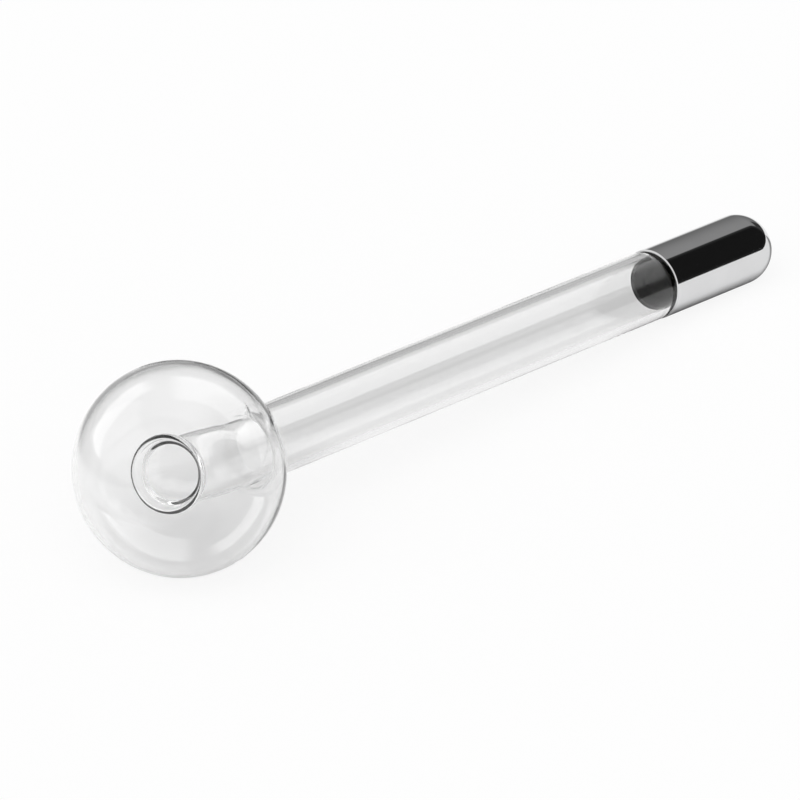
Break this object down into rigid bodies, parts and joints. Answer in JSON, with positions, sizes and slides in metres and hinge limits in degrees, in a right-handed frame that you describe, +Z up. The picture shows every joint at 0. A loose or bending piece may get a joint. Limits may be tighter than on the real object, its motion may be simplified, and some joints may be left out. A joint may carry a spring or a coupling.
{
  "type": "glass violet ray electrode",
  "caption": "Clear blown-glass ball electrode on a straight glass stem, with an open inner tube and a round-ended bright metal cap that plugs into a high-frequency handpiece.",
  "frame": {"origin": "middle of the cap's mouth, on the stem's axis", "axes": "+X along the stem, out through the cap's round end, the way it goes into the handpiece; +Z up, towards the side to which the ball stands off the stem's axis"},
  "size_m": [0.1461, 0.0322, 0.0322],
  "materials": {
    "clear_glass": "clear blown glass, fire polished",
    "plated_cap": "bright plated drawn brass",
    "cement": "dry capping cement"
  },
  "bodies": {
    "root": {"ball_bulb": "clear_glass", "inner_tube": "clear_glass", "seal_ring": "clear_glass", "stem_tube": "clear_glass", "exhaust_tip": "clear_glass", "end_cap": "plated_cap", "cap_cement": "cement"}
  },
  "joints": []
}
